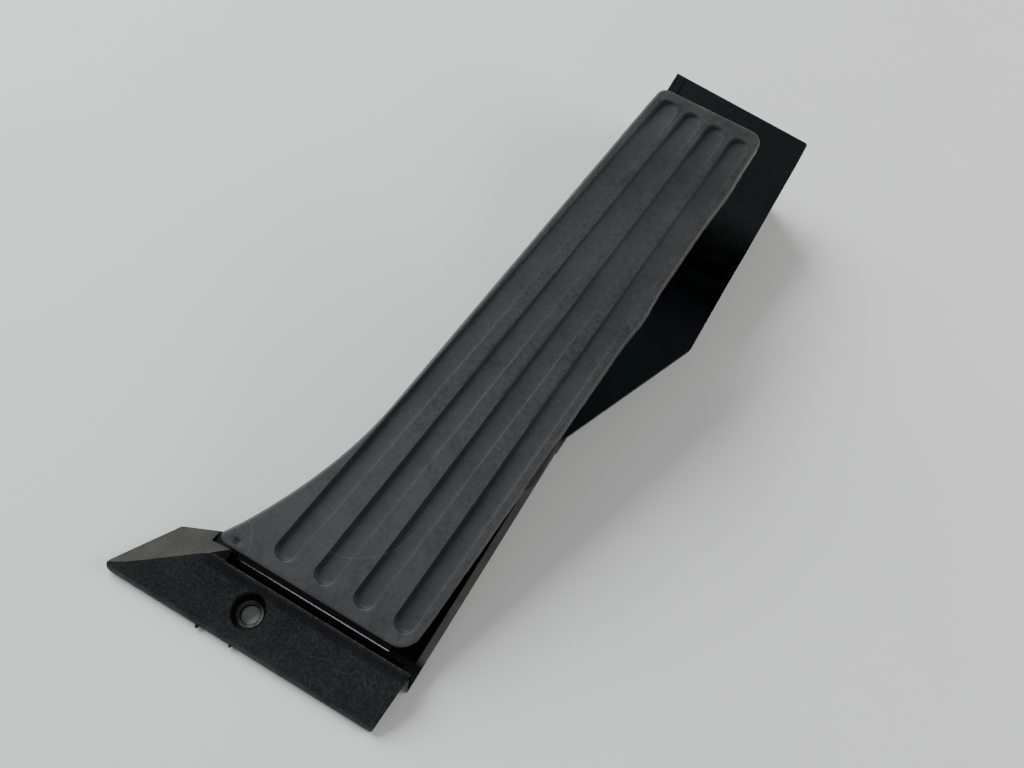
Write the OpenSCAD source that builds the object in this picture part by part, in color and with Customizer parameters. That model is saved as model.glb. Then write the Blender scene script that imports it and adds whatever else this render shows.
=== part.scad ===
// Floor-hinged accelerator pedal module, lying on its mounting face.
// X runs across the pad to the right, Y from the heel to the sensor box, Z up from the
// mounting face. The origin is the axis of the heel screw hole on the mounting face.

/* [Pad] */
// Length of the ribbed tread
pad_len = 222; // [180:1:270]
// Right edge of the tread at its lower end
pad_right = 52; // [44:0.5:64]
// Left edge of the tread, carried straight down to its lower end
pad_left = 5.6; // [3:0.1:8]
// How far the lower left corner flares out past that line
flare = 17.6; // [5:0.1:22]
// Length over which the flare fades out
flare_len = 68; // [40:1:90]
// Height of the tread's skirt
skirt_h = 5.5; // [4.4:0.1:6]
// Thickness of the tread under the land between grooves
tread_t = 2.6; // [2.2:0.1:3.2]
// Wall of the tread's skirt
skirt_w = 1.6; // [1.2:0.1:2]
// Width of one groove
groove_w = 7.8; // [6:0.1:9]
// Depth of one groove
groove_d = 1.7; // [1:0.1:2]
// Slope of the tread at rest
rest_tilt = 19; // [17:0.5:24]
// Pedal travel about the hinge
travel = 11.5; // [8:0.5:11.5]
// Distance of the tread's lower edge from the heel screw
pad_y = 12.2; // [11.6:0.1:16]
// Height of the tread's lower edge above the mounting face
pad_z = 14; // [13.5:0.1:18]

/* [Heel] */
// Heel front edge from the screw axis
heel_front = 11.1; // [10:0.1:16]
// Left end of the heel wedge
heel_left = 49.5; // [40:0.5:60]
// Right end of the heel wedge at its front edge
heel_right = 54.7; // [45:0.1:56]
// Height of the ridge beside the hinge
ridge_h = 12.5; // [11:0.1:14]
// Radius of the screw head recess
recess_r = 5.9; // [5.2:0.1:7]
// Outside radius of the steel sleeve
sleeve_r = 4.5; // [4:0.1:5]
// Inside radius of the steel sleeve
sleeve_bore = 3.3; // [2.7:0.1:3.7]

/* [Sensor box] */
// Length of the box
box_len = 81.8; // [76:0.1:95]
// Right side of the box at its end face
box_right = 93.1; // [90:0.1:105]
// Left side of the box
box_left = 25.4; // [22:0.1:26]
// Height of the box face at its end
box_h = 43; // [40:0.1:52]
// Front wall of the box from the heel screw
box_front = 206; // [204:0.1:208]
// Height of the wing face at its upper end
wing_h = 29.5; // [27:0.1:30]
// How far the wing's body stands back under its slanting edge
wing_in = 5.5; // [4:0.1:7]
// Thickness of the wing's roof
roof_t = 2.6; // [2.2:0.1:3]
// General wall thickness of the moulding
wall = 3; // [2.4:0.1:3.4]
// Thickness of the side cover
cover_t = 4.8; // [4:0.1:5]

/* [Mechanism] */
// Distance of the lever axis behind the box's front wall
lever_in = 20; // [18:0.5:24]
// Depth of the lever axis below half the height of the box's end
lever_sink = 3; // [2:0.1:5]
// Reach of the lever from its axis to the track, along the floor
lever_reach = 70.1; // [62:0.1:76]
// Width of the lever's arm
arm_w = 11.6; // [10:0.1:13]
// Radius of the lever's hub
hub_r = 7; // [6:0.1:7.5]
// Radius of the lever shaft
shaft_r = 3; // [2.5:0.1:3.2]
// Radius of the roller on the lever tip
roller_r = 5; // [4.4:0.1:5.6]
// Width of the chamber for the sensor board
board_room = 10.85; // [10.4:0.05:14]
// Thickness of the wall between that chamber and the lever
part_t = 3.4; // [3:0.1:5]
// Wire of the outer return spring
wire_outer = 1.5; // [1:0.1:1.6]
// Wire of the inner return spring
wire_inner = 1.1; // [0.8:0.1:1.2]

/* [Hidden] */

eps = 0.01;
run_gap = 0.05;
fit_gap = 0.15;
seam = 0.15;
side_gap = 0.6;
lean_left = 0.1536;
lean_right = 0.0945;
plate_gap = 0.15;
hinge_y = pad_y - 1.3;
hinge_z = pad_z - 4.8;
ridge_y = pad_y - 4.2;
trough_y0 = pad_y + 1.2;
face_slope = 0.1404;
side_lean = 0.0355;
box_end = box_front + box_len;
rim_x = pad_right + 6.3;
wing_x0 = pad_right + 10.4;
wing_y0 = 107.6;
wing_z0 = 19.3;
wing_y1 = 166.9;
wing_y2 = box_front - 4.8;
rib_at = [24, 36, 48, 60];
rib_t = 1.4;
rib_h = 9;
rim_z0 = 7.3;
bridge_h = 20;
box_top = box_h - face_slope * box_len;
cover_x = box_left + cover_t + seam;

lever_y = box_front + lever_in;
lever_z = box_h / 2 - lever_sink;
part_x0 = cover_x + board_room;
part_x1 = part_x0 + part_t;
arm_x0 = part_x1 + side_gap;
arm_x1 = arm_x0 + arm_w;
lever_x = (arm_x0 + arm_x1) / 2;
bush_r = shaft_r + 1.5;
bush_len = 5.4;
bush_x1 = box_right - (box_end - lever_y) * side_lean - wall - 3.5;
hub_x1 = bush_x1 - bush_len - side_gap;
shoe_t = 2.5;
shoe_x0 = arm_x1 + 0.24 * (hub_x1 - arm_x1);
shoe_x1 = arm_x1 + 0.7 * (hub_x1 - arm_x1);
track_t = 2.9;
roller_gap = 0.1;
roller_s = (lever_y - lever_reach - pad_y) / cos(rest_tilt);
seat_y = wing_y2 - 13.2;
seat_r = 6.9;

board_t = 1.6;
board_x = cover_x + 3.15;
board_y0 = lever_y - 9.5;
board_y1 = box_end - 25.3;
board_z0 = lever_z - 10.9;
board_z1 = box_top + face_slope * (board_y0 - box_front) - wall - 0.6;
board_x1 = board_x + board_t;
chip_t = 1.1;
magnet_x0 = board_x1 + 1.8;
magnet_t = 2;
magnet_r = 4.6;
holder_r = magnet_r + 1.2;
shaft_x0 = magnet_x0 + magnet_t;
socket_x = cover_x + 0.25;
socket_w = board_room - 0.45;
socket_z = 8.5;
socket_h = box_h - 20;
socket_in = 19.8;
socket_out = 6;
flange = 1.6;
pin_w = 0.8;
pin_pitch = (socket_h - 5) / 6;
pin_h = pin_pitch / 2;
pin_x = board_x1 + 0.25;
pin_z0 = socket_z + 3.25;
buffer_r = 4;
pin_r = 1.5;
coil_outer = 6.75 - wire_outer / 2;
coil_inner = 3.6;
screw_r = 1.1;
screw_gap = 0.3;
head_r = 2.2;
post_r = 2;
peg_r = 0.9;

function unit(v) = v / norm(v);
function left_of(v) = [-v[1], v[0]] / norm(v);

// Points of a small arc that rounds the corner b between a and c.
function corner(a, b, c, r, n) =
    let (u = unit(a - b), v = unit(c - b), half = acos(u * v) / 2,
         mid = b + unit(u + v) * r / sin(half),
         p = b + u * r / tan(half) - mid, q = b + v * r / tan(half) - mid,
         a0 = atan2(p[1], p[0]), turn = (atan2(q[1], q[0]) - a0 + 540) % 360 - 180)
    [for (i = [0:n]) mid + r * [cos(a0 + turn * i / n), sin(a0 + turn * i / n)]];
function flat(p) = [p[0], p[1]];
function rounded(p, n) = [for (i = [0:len(p) - 1])
    let (a = p[(i + len(p) - 1) % len(p)], b = p[i], c = p[(i + 1) % len(p)])
    each (b[2] > 0 ? corner(flat(a), flat(b), flat(c), b[2], n) : [flat(b)])];
function inset(p, d) = [for (i = [0:len(p) - 1])
    let (a = p[(i + len(p) - 1) % len(p)], b = p[i], c = p[(i + 1) % len(p)],
         m = unit(left_of(b - a) + left_of(c - b)))
    b + m * d / (m * left_of(b - a))];

// Outline of the tread, in its own plane.
function bump(s, at, half) = exp(-pow((s - at) / half, 2));
function edge_l(s) = -pad_left + lean_left * s - flare * pow(max(0, 1 - s / flare_len), 1.9);
function edge_r(s) = pad_right + lean_right * s - 0.00005 * s * s
    + 0.9 * bump(s, 140, 8) + 0.7 * bump(s, 197, 9);
s_top = pad_len - 1.8;
function mid_at(i) = s_top - 12 - i * (s_top - flare_len - 28) / 5;
function flare_at(i) = flare_len + 6 - i * (flare_len - 2.4) / 16;
outline = rounded(concat(
    [[edge_r(1), 1, 7]],
    [for (i = [1:24]) [edge_r(10 + i * (s_top - 24) / 24), 10 + i * (s_top - 24) / 24, 0]],
    [[edge_r(s_top), s_top + 1.9, 4.5], [edge_l(s_top), s_top, 4]],
    [for (i = [0:5]) [edge_l(mid_at(i)), mid_at(i), 0]],
    [for (i = [0:16]) [edge_l(flare_at(i)), flare_at(i), 0]],
    [[edge_l(3.5) - 1.5, 1, 2.2]]), 7);

// A point of the pad's own plane system, s along the pad and w out of it, in the side view.
function pad_pt(s, w) = [pad_y + s * cos(rest_tilt) - w * sin(rest_tilt),
                         pad_z + s * sin(rest_tilt) + w * cos(rest_tilt)];
function turned(p, a) = [p[0] * cos(a) - p[1] * sin(a), p[0] * sin(a) + p[1] * cos(a)];
hinge_pt = [hinge_y, hinge_z];
lever_pt = [lever_y, lever_z];
roller_w = -(skirt_h + track_t + roller_r + roller_gap);
roller_pt = pad_pt(roller_s, roller_w);
lever_len = norm(roller_pt - lever_pt);
lever_up = atan2(roller_pt[1] - lever_z, lever_y - roller_pt[0]);
seat_z = lever_z + (lever_y - seat_y) * tan(lever_up) - 10.15;

// Fully pressed, the roller is as deep under the tread as at rest: this sets the lever's turn.
low_tilt = rest_tilt - travel;
low_line = hinge_pt + turned(pad_pt(0, roller_w) - hinge_pt, -travel);
low_depth = (low_line - lever_pt) * [-sin(low_tilt), cos(low_tilt)];
lever_turn = lever_up + low_tilt - asin(low_depth / lever_len);
lever_ratio = lever_turn / travel;

// Path of the roller as the pad sees it, then the running face one radius above it.
function roller_at(t) = lever_pt + lever_len * [-cos(lever_up - lever_ratio * t),
                                                sin(lever_up - lever_ratio * t)];
function in_pad(p) = let (q = p - [pad_y, pad_z])
    [q[0] * cos(rest_tilt) + q[1] * sin(rest_tilt), q[1] * cos(rest_tilt) - q[0] * sin(rest_tilt)];
function path(t) = in_pad(hinge_pt + turned(roller_at(t) - hinge_pt, t));
function above(t) = let (d = unit(path(t - 0.05) - path(t + 0.05)))
    path(t) + (roller_r + roller_gap) * [-d[1], d[0]];

// Side view outlines, as y and z.
box_side = rounded([[box_front, 0, 0], [box_end, 0, 0], [box_end, box_h, 2.2],
                    [box_front, box_top, 12]], 8);
box_inner = [[box_front + wall, wall], [box_end - wall, wall],
             [box_end - wall, box_h - wall - 0.4],
             [box_front + 10.2, box_top - wall + 1], [box_front + wall, box_top - 9.5]];
function wing_z(y) = wing_z0 + (y - wing_y0) * (wing_h - wing_z0) / (wing_y2 - wing_y0);
arm_side = [[4.9, 0], [wing_y2, 0], [wing_y2, wing_h], [wing_y0, wing_z0], [14, rim_z0],
            [9.2, rim_z0 - 0.6], [4.9, 5.4]];

// Plan outlines.
function side_x(y) = box_right - (box_end - y) * side_lean;

// The wing is a shelf: its body stands back from the slanting edge of its roof by wing_in.
wing_dir = unit([side_x(wing_y1), wing_y1] - [wing_x0, wing_y0]);
function wing_pt(t, d) = [wing_x0, wing_y0] + wing_dir * t + [-wing_dir[1], wing_dir[0]] * d;
function wing_t(x, d) = (x - wing_x0 + wing_dir[1] * d) / wing_dir[0];
undercut = [[wing_x0 + 0.8, wing_y0 - 10], wing_pt(wing_t(wing_x0 + 0.8, wing_in), wing_in),
            wing_pt(90, wing_in), [120, wing_pt(90, wing_in)[1]], [120, wing_y0 - 10]];
function wall_l(y) = edge_l((y - pad_y) / cos(rest_tilt)) + 2.5;
housing_plan = concat(
    [[rim_x, 4.9], [wing_x0, wing_y0], [side_x(wing_y1), wing_y1], [box_right, box_end],
     [cover_x, box_end], [cover_x, wing_y2], [box_left, wing_y2]],
    [for (y = [190:-20:70]) [wall_l(y), y]],
    [for (y = [62:-8:22]) [wall_l(y), y]],
    [[-15, trough_y0 + 3.6], [-15, ridge_y + 1.2], [heel_right + 1.9, ridge_y + 1.2]]);
trough_plan = concat(
    [[rim_x - 2.4, trough_y0], [wing_x0 - 2.6, wing_y0 - 3], [wing_x0 - 2.6, wing_y2 - wall],
     [box_left + wall, wing_y2 - wall]],
    [for (y = [190:-20:70]) [wall_l(y) + 2.5, y]],
    [for (y = [62:-8:22]) [wall_l(y) + 2.5, y]],
    [[-9, trough_y0]]);

module side_prism(x0, x1, pts) {
    translate([x0, 0, 0])
        rotate([90, 0, 90])
            linear_extrude(height = x1 - x0)
                polygon(pts);
}

module slab(z0, z1, pts) {
    translate([0, 0, z0])
        linear_extrude(height = z1 - z0)
            polygon(pts);
}

module along_x(x0, x1, y, z, r, fn = 48) {
    translate([x0, y, z])
        rotate([0, 90, 0])
            cylinder(h = x1 - x0, r = r, $fn = fn);
}

module on_pad() {
    translate([0, pad_y, pad_z])
        rotate([rest_tilt, 0, 0])
            children();
}

// Heel wedge: a shallow ramp with a rounded toe, cut at the left by one sloping facet.
ramp = [[-heel_front, 0], [-heel_front, 1.9], [-heel_front + 0.4, 2.9], [-heel_front + 1.4, 3.9],
        [-6.2, 6.4], [-2, ridge_h - 4.3], [3, ridge_h - 2.3], [ridge_y - 0.8, ridge_h - 0.6],
        [ridge_y, ridge_h]];

module facet_half() {
    translate([-21, ridge_y + 1.2, ridge_h])
        rotate([0, 34.6, 144.2])
            translate([-120, -120, -120])
                cube([240, 240, 120]);
}

module heel_wedge() {
    intersection() {
        union() {
            side_prism(-heel_left - 2, -15, concat(ramp, [[24, ridge_h + 5], [24, 0]]));
            side_prism(-heel_left - 2, heel_right + 1.9, concat(ramp, [[ridge_y + 1, ridge_h], [ridge_y + 1, 0]]));
        }
        facet_half();
        slab(-1, 40, rounded([[-heel_left - 1, -heel_front, 2], [heel_right - 0.1, -heel_front, 0.8],
                      [heel_right + 1.7, ridge_y + 1, 0], [-15, ridge_y + 1, 0], [-15, 20, 0],
                      [-25, 16.6, 0], [-37.3, 12.6, 1.5]], 5));
    }
}

// Pockets that open downwards keep the heel's walls even, with ribs between them.
module heel_pockets() {
    under = [[-heel_front + wall, -1], [-heel_front + wall, 2.6], [-6, 3.9], [-1, ridge_h - 7.2],
             [ridge_y - 1.8, ridge_h - 4.2], [ridge_y - 1.8, -1]];
    side_prism(-31, -9, under);
    side_prism(9, 30, under);
    side_prism(32.5, heel_right - 2.4, under);
}

module base_shell() {
    heel_wedge();
    intersection() {
        slab(0, 60, housing_plan);
        union() {
            side_prism(-40, 120, arm_side);
            side_prism(cover_x - 1, 120, box_side);
            side_prism(cover_x - 1, 120, [[wing_y2 - 2, 0], [box_front + 2, 0],
                       [box_front + 2, bridge_h], [wing_y2 - 2, bridge_h]]);
            side_prism(side_x(box_front) - 2.4, 120, [[wing_y2 - 2, 0], [box_front + 12, 0],
                       [box_front + 12, box_top + face_slope * 12 - 0.3],
                       [wing_y2 - 2, wing_h - 0.5]]);
        }
    }
    slab(0, ridge_h - 7.3, [[-16, ridge_y], [heel_right + 1.8, ridge_y],
                            [heel_right + 1.8, trough_y0 + 0.6], [-16, trough_y0 + 0.6]]);
}

module base_cavities() {
    slab(wall, 60, trough_plan);
    intersection() {
        slab(wall, 60, [wing_pt(wing_t(wing_x0 - 2.8, wing_in + 2.6), wing_in + 2.6),
                        wing_pt(wing_t(side_x(182) - 2.6, wing_in + 2.6), wing_in + 2.6),
                        [side_x(wing_y2) - 2.6, wing_y2 - wall], [wing_x0 - 2.8, wing_y2 - wall]]);
        side_prism(0, 120, [[90, wall], [wing_y2, wall], [wing_y2, wing_h - wall],
                            [90, wing_z(90) - wall]]);
    }
    difference() {
        intersection() {
            slab(wall, 60, [[part_x1, box_front], [side_x(box_front) - wall, box_front],
                            [side_x(box_end) - wall, box_end], [part_x1, box_end]]);
            side_prism(0, 120, box_inner);
        }
        along_x(bush_x1 - bush_len, box_right, lever_y, lever_z, bush_r + 2.5);
        difference() {
            translate([shoe_x0 - 0.7, lever_y - hub_r - shoe_t - 0.1, 0])
                cube([shoe_x1 - shoe_x0 + 1.4, 2 * (hub_r + shoe_t + 0.1), lever_z - 4.5]);
            along_x(shoe_x0 - 2, shoe_x1 + 2, lever_y, lever_z, hub_r + shoe_t + 0.1);
        }
    }
    intersection() {
        translate([20, 0, 0])
            cube([part_x0 - 20, 400, 60]);
        side_prism(0, 120, box_inner);
    }
    translate([arm_x0 - 0.7, wing_y2 - wall - 2, 10.4])
        cube([arm_w + 1.4, box_front + wall - wing_y2 + wall + 4, 60]);
    translate([arm_x0 - 0.7, wing_y2, 24])
        cube([arm_w + 1.4, lever_y - 3 - wing_y2, 60]);
}

module wing_undercut() {
    intersection() {
        slab(-1, 60, undercut);
        side_prism(0, 130, [[wing_y0 - 12, -2], [wing_y2, -2], [wing_y2, wing_h - roof_t],
                            [wing_y0 - 12, wing_z(wing_y0 - 12) - roof_t]]);
    }
}

// Thin sloping ribs carry the overhanging edge of the wing.
module wing_ribs() {
    for (t = rib_at)
        translate([wing_pt(t, 0)[0], wing_pt(t, 0)[1], wing_z(wing_pt(t, 0)[1]) - roof_t])
            rotate([0, 0, atan2(wing_dir[1], wing_dir[0])])
                rotate([90, 0, 90])
                    linear_extrude(height = rib_t)
                        polygon([[1.4, 1], [wing_in + 1, 1], [wing_in + 1, -rib_h],
                                 [wing_in - 0.4, -rib_h], [1.4, -0.4]]);
}

// Small features inside the box: board posts, cover bosses and the spring spigot.
post_y = [board_y0 + 2.8, board_y1 - 8.6];
post_z = [board_z0 + 2.4, board_z1 - 2.4];
screw_at = [[box_front + 7.2, 7.6], [box_front + 7.2, box_top - 7.3],
            [box_end - 7.6, box_h - 8], [box_end - 11.6, 5.8]];

stop_x = pad_right + 14;
stop_y = box_front + 11;
stop_z = box_top + face_slope * 11 - 1.8;

module base_bosses() {
    for (y = post_y)
        for (z = post_z) {
            along_x(board_x1, part_x0 + 1, y, z, post_r, 32);
            along_x(board_x - 0.5, part_x0, y, z, peg_r, 24);
        }
    for (p = screw_at)
        along_x(cover_x, part_x0 + 1, p[0], p[1], screw_r + 1.6, 32);
    translate([lever_x, seat_y, wall - 1])
        cylinder(h = 3.4, r = 2.2, $fn = 32);
}

module base_housing() {
    color([0.06, 0.06, 0.065])
    difference() {
        union() {
            difference() {
                base_shell();
                base_cavities();
                heel_pockets();
                wing_undercut();
            }
            wing_ribs();
            base_bosses();
        }
        translate([0, 0, -1])
            cylinder(h = 40, r = sleeve_r, $fn = 64);
        translate([0, 0, 3])
            cylinder(h = 40, r = recess_r, $fn = 64);
        translate([edge_l(1.5) - 1.6, pad_y + 0.6, pad_z - 6.1])
            cube([-9 - edge_l(1.5) + 1.6, 16, 20]);
        translate([-14, hinge_y - 1.5, 3.2])
            cube([heel_right + 12.2, 1.7, 30]);
        along_x(part_x0 - 1, part_x1 + 1, lever_y, lever_z, bush_r);
        along_x(hub_x1, bush_x1 + 1.1, lever_y, lever_z, bush_r);
        translate([cover_x - 1, box_end - wall - 1, socket_z - 0.2])
            cube([part_x0 - cover_x + 1, wall + 2, socket_h + 0.4]);
        for (p = screw_at)
            along_x(box_left, part_x0 - 2, p[0], p[1], screw_r, 32);
        translate([stop_x, stop_y, stop_z])
            cylinder(h = 6, r = buffer_r, $fn = 48);
        translate([lever_x, lever_y + 11, wall - 1.2])
            cylinder(h = 4, r = buffer_r, $fn = 48);
    }
}

module side_cover() {
    color([0.05, 0.05, 0.055])
    difference() {
        side_prism(box_left, box_left + cover_t, box_side);
        for (p = screw_at) {
            along_x(box_left - 1, cover_x + 1, p[0], p[1], screw_r + screw_gap, 32);
            along_x(box_left - 1, box_left + 2, p[0], p[1], head_r + screw_gap, 32);
        }
    }
}

module cover_screws() {
    color([0.55, 0.55, 0.57])
    for (p = screw_at)
        difference() {
            union() {
                along_x(box_left + 0.4, box_left + 2, p[0], p[1], head_r, 32);
                along_x(box_left + 1, part_x0 - 3.2, p[0], p[1], screw_r, 32);
            }
            translate([box_left, p[0] - 1.3, p[1] - 0.3])
                cube([1.1, 2.6, 0.6]);
            translate([box_left, p[0] - 0.3, p[1] - 1.3])
                cube([1.1, 0.6, 2.6]);
        }
}

module heel_sleeve() {
    color([0.5, 0.48, 0.44])
    difference() {
        cylinder(h = 3.4, r = sleeve_r, $fn = 64);
        translate([0, 0, -1])
            cylinder(h = 6, r = sleeve_bore, $fn = 64);
    }
}

// Each groove is a straight round-bottomed channel with ball ends.
groove_r = (groove_w * groove_w / 4 + groove_d * groove_d) / (2 * groove_d);
groove_s0 = 6 + groove_w / 2;
groove_s1 = pad_len - 5.6 - groove_w / 2;
function groove_x(i, s) = (pad_right - 53.3 + 15.58 * i) * (1 - s / pad_len)
    + (pad_right - 16.3 + 9.52 * i) * s / pad_len;

groove_arc = [for (i = [0:10]) groove_r * [cos(9 * i), sin(9 * i)]];

module groove(i) {
    x0 = groove_x(i, groove_s0);
    x1 = groove_x(i, groove_s1);
    run = norm([x1 - x0, groove_s1 - groove_s0]);
    translate([x0, groove_s0, groove_r - groove_d])
        rotate([0, 0, -atan2(x1 - x0, groove_s1 - groove_s0)])
            rotate([-90, 0, 0])
                rotate_extrude($fn = 64)
                    polygon(concat(
                        [for (i = [10:-1:0]) [groove_arc[i][0], -groove_arc[i][1]]],
                        [for (i = [0:10]) [groove_arc[i][0], run + groove_arc[i][1]]]));
}

module tread_pad() {
    color([0.22, 0.225, 0.23])
    on_pad()
        difference() {
            union() {
                slab(-skirt_h, 0, outline);
                slab(-skirt_h, -3.4, [[edge_r(64) - 1, 64], [edge_r(67) + 1.1, 67.5],
                     [edge_r(71) + 1.5, 71], [edge_r(79) + 0.6, 79], [edge_r(88) - 0.4, 88],
                     [edge_r(88) - 1, 88]]);
            }
            slab(-skirt_h - 1, -tread_t, inset(outline, skirt_w));
            translate([-60, -5, -skirt_h - 2])
                cube([160, 5 + 1 + skirt_w + 0.1, skirt_h + 2 - 3.3]);
            for (i = [0:3])
                groove(i);
        }
}

function rib_x(s) = 3 + 28 * (s - 14) / 166;

module pedal_plate() {
    color([0.07, 0.07, 0.075])
    on_pad()
        difference() {
            union() {
                intersection() {
                    slab(-skirt_h, -tread_t - fit_gap, inset(outline, skirt_w + plate_gap));
                    translate([-60, 2.9, -skirt_h])
                        cube([160, 300, skirt_h]);
                }
                slab(-9.8, -skirt_h + 1, [[rib_x(14) - 1, 14], [rib_x(14) + 1, 14],
                                            [rib_x(180) + 1, 180], [rib_x(180) - 1, 180]]);
                translate([42, 14, -9.8])
                    cube([2, 166, 6]);
                translate([48.4, 14, -9.8])
                    cube([2, 84, 6]);
                for (s = [30, 62, 94])
                    translate([rib_x(s), s, -8.6])
                        cube([49.4 - rib_x(s), 1.8, 5]);
            }
            translate([-60, -1, -4.7])
                cube([160, 8.9, 1.2]);
        }
}

module slide_track() {
    color([0.62, 0.6, 0.54])
    on_pad()
        side_prism(lever_x - 4, lever_x + 4, concat(
            [[path(0)[0] + 9, -skirt_h - eps]],
            [[path(-2)[0] - 30, -skirt_h - eps]],
            [for (i = [14:-1:-2]) above(i * travel / 12)]));
}

// Thin flexible strip: one leaf stands in the heel's slot, the other lies in the plate.
module hinge_strip() {
    t = 0.45;
    w = -4.1;
    x0 = hinge_y - 0.7;
    color([0.1, 0.1, 0.105]) {
        side_prism(pad_right - 6, pad_right - 1.4, [[x0 - t, 3.3], [x0 + t, 3.3],
            [x0 + t, hinge_z - 1.7], [x0 + t + 0.15, hinge_z - 1], [x0 + 0.45, hinge_z + 0.45],
            [x0 - 0.1, hinge_z - 0.2], [x0 - t, hinge_z - 1.5]]);
        side_prism(-13.4, pad_right - 5.8, [
            [x0 + t, 3.3], [x0 + t, hinge_z - 1.7], [x0 + t + 0.15, hinge_z - 1],
            [x0 + t + 0.55, hinge_z - 0.45], pad_pt(-1, w - t), pad_pt(7.6, w - t),
            pad_pt(7.6, w + t), pad_pt(-1, w + t), [x0 + 0.45, hinge_z + 0.45],
            [x0 - 0.1, hinge_z - 0.2], [x0 - t, hinge_z - 1.5], [x0 - t, 3.3]]);
    }
}

module lever_frame() {
    translate([0, lever_y, lever_z])
        rotate([-lever_up, 0, 0])
            children();
}

module drive_lever() {
    color([0.75, 0.74, 0.7])
    difference() {
        union() {
            along_x(arm_x0 - 0.3, hub_x1, lever_y, lever_z, hub_r, 64);
            lever_frame() {
                side_prism(arm_x0, arm_x1, [[-4.2, -5.4], [-4.2, 5.4], [-lever_len + 6, 4],
                           [-lever_len, 3.8], [-lever_len, -3.8], [-lever_len + 6, -4]]);
                along_x(arm_x0, arm_x1, -lever_len, 0, 3.8);
            }
            translate([lever_x, seat_y, seat_z])
                cylinder(h = 7, r = seat_r, $fn = 48);
            translate([lever_x, seat_y, seat_z - 2])
                cylinder(h = 4, r = 2.2, $fn = 32);
            translate([lever_x - 5, lever_y, lever_z - 9])
                cube([10, 15, 5]);
        }
        lever_frame() {
            translate([lever_x - 3.7, -lever_len - 10, -10])
                cube([7.4, 10 + roller_r + 0.8, 20]);
            translate([arm_x0 - 1, -lever_len + 20, -2.6])
                cube([4.6, 10, 5.2]);
            translate([arm_x1 - 3.6, -lever_len + 20, -2.6])
                cube([4.6, 10, 5.2]);
            along_x(arm_x0 - 1, arm_x1 + 1, -lever_len, 0, pin_r, 32);
        }
        along_x(arm_x0 - 1, hub_x1 + 1, lever_y, lever_z, shaft_r);
    }
}

module lever_shaft() {
    color([0.66, 0.67, 0.69])
    along_x(shaft_x0, bush_x1 - 0.4, lever_y, lever_z, shaft_r);
}

module shaft_bushes() {
    color([0.7, 0.55, 0.3])
    for (x = [[part_x0, part_x1], [bush_x1 - bush_len, bush_x1]])
        difference() {
            along_x(x[0], x[1], lever_y, lever_z, bush_r);
            along_x(x[0] - 1, x[1] + 1, lever_y, lever_z, shaft_r + run_gap);
        }
}

module tip_roller() {
    color([0.85, 0.85, 0.83])
    difference() {
        along_x(lever_x - 3.4, lever_x + 3.4, roller_pt[0], roller_pt[1], roller_r, 64);
        along_x(lever_x - 5, lever_x + 5, roller_pt[0], roller_pt[1], pin_r + run_gap, 32);
    }
}

module roller_pin() {
    color([0.66, 0.67, 0.69])
    along_x(arm_x0 + 0.2, arm_x1 - 0.2, roller_pt[0], roller_pt[1], pin_r, 32);
}

// Coil of round wire: the flat section of a helix, turned once per pitch.
module coil(r, wire, h, turns) {
    pitch = (h - wire) / turns;
    half = min(70, 360 * wire / 2 / pitch);
    translate([lever_x, seat_y, wall])
        linear_extrude(height = h, twist = -360 * h / pitch, slices = ceil(18 * h / pitch))
            polygon(concat(
                [for (i = [-4:4]) (r + wire / 2 * sqrt(max(0.02, 1 - i * i / 16.6)))
                    * [cos(half * i / 4), sin(half * i / 4)]],
                [for (i = [4:-1:-4]) (r - wire / 2 * sqrt(max(0.02, 1 - i * i / 16.6)))
                    * [cos(half * i / 4), sin(half * i / 4)]]));
}

module outer_spring() {
    color([0.6, 0.6, 0.62])
    coil(coil_outer, wire_outer, seat_z - wall - 0.1, 3.6);
}

module inner_spring() {
    color([0.55, 0.55, 0.57])
    coil(coil_inner, wire_inner, seat_z - wall - 0.1, 4.9);
}

module friction_shoe() {
    color([0.8, 0.78, 0.7])
    difference() {
        along_x(shoe_x0, shoe_x1, lever_y, lever_z, hub_r + shoe_t + run_gap, 64);
        along_x(shoe_x0 - 1, shoe_x1 + 1, lever_y, lever_z, hub_r + run_gap, 64);
        translate([shoe_x0 - 1, lever_y - 20, lever_z - 4.6])
            cube([shoe_x1 - shoe_x0 + 2, 40, 40]);
    }
}

module rest_buffer() {
    color([0.05, 0.05, 0.05])
    translate([lever_x, lever_y + 11, wall - 1.2])
        cylinder(h = lever_z - 9 - wall + 1.2 - 0.2, r = buffer_r - 0.05, $fn = 48);
}

module stop_buffer() {
    color([0.05, 0.05, 0.05])
    translate([stop_x, stop_y, stop_z])
        cylinder(h = 3.1, r = buffer_r - 0.05, $fn = 48);
}

module magnet_holder() {
    color([0.1, 0.1, 0.11])
    difference() {
        along_x(magnet_x0 - 0.2, part_x0 - 0.3, lever_y, lever_z, holder_r);
        along_x(magnet_x0 - 1, shaft_x0, lever_y, lever_z, magnet_r);
        along_x(shaft_x0 - 1, part_x0 + 1, lever_y, lever_z, shaft_r);
    }
}

module sensor_magnet() {
    color([0.4, 0.41, 0.43])
    along_x(magnet_x0, shaft_x0, lever_y, lever_z, magnet_r);
}

module sensor_board() {
    color([0.05, 0.25, 0.12])
    difference() {
        translate([board_x, board_y0, board_z0])
            cube([board_t, board_y1 - board_y0, board_z1 - board_z0]);
        for (y = post_y)
            for (z = post_z)
                along_x(board_x - 1, board_x1 + 1, y, z, peg_r + 0.1, 24);
    }
}

module sensor_chips() {
    color([0.03, 0.03, 0.03])
    for (z = [lever_z - 4.6, lever_z + 0.4])
        translate([board_x1, lever_y - 2.5, z])
            cube([chip_t, 5, 4.2]);
}

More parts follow.
